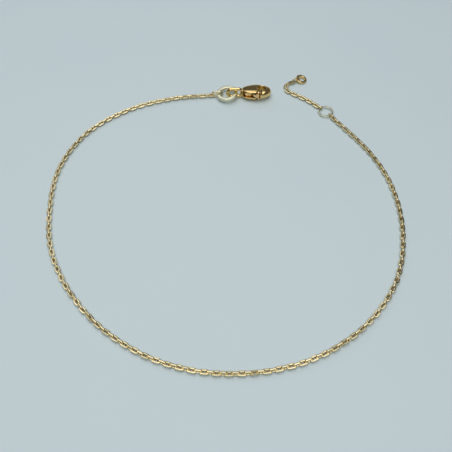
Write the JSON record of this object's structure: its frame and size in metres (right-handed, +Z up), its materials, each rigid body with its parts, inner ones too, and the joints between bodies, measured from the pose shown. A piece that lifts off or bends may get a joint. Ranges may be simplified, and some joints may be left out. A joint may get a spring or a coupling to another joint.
{
  "type": "chain anklet",
  "caption": "Fine gold chain anklet of oval cable links, lying open, with a lobster clasp on a heavy ring and a short extender chain that carries a shortening ring and an end ring.",
  "frame": {"origin": "middle of the whole anklet, on the surface it lies on", "axes": "+Z up, +X to the right along the clasp, +Y away from the front of the loop towards the clasp"},
  "size_m": [0.0776, 0.0834, 0.0028],
  "materials": {
    "chain_gold": "polished oval links with flat cut sides",
    "clasp_gold": "polished casting",
    "lever_gold": "polished, slightly worn",
    "ring_gold": "polished round wire"
  },
  "bodies": {
    "anklet": {"clasp_body": "clasp_gold", "clasp_ring": "ring_gold", "clasp_link": "chain_gold", "chain_link_01": "chain_gold", "chain_link_02": "chain_gold", "chain_link_03": "chain_gold", "chain_link_04": "chain_gold", "chain_link_05": "chain_gold", "chain_link_06": "chain_gold", "chain_link_07": "chain_gold", "chain_link_08": "chain_gold", "chain_link_09": "chain_gold", "chain_link_10": "chain_gold", "chain": "chain_gold", "shortening_ring": "ring_gold", "extender_link_01": "chain_gold", "extender_link_02": "chain_gold", "extender_link_03": "chain_gold", "extender_link_04": "chain_gold", "extender_link_05": "chain_gold", "extender_link_06": "chain_gold", "extender_link_07": "chain_gold", "extender_link_08": "chain_gold", "extender_link_09": "chain_gold", "extender_link_10": "chain_gold", "extender_link_11": "chain_gold", "extender_link_12": "chain_gold", "extender_link_13": "chain_gold", "extender_link_14": "chain_gold", "end_link": "chain_gold", "end_ring": "ring_gold"},
    "lever": {"clasp_lever": "lever_gold"}
  },
  "joints": [
    {"name": "lever_pivot", "type": "hinge", "parent": "anklet", "child": "lever", "pos_m": [0.00576, 0.03383, 0.00147], "axis": [-0.0109, 0.2076, 0.9781], "range_deg": [0, 18], "stiffness_Nm_per_rad": 0.002, "springref_deg": -17.19}
  ]
}
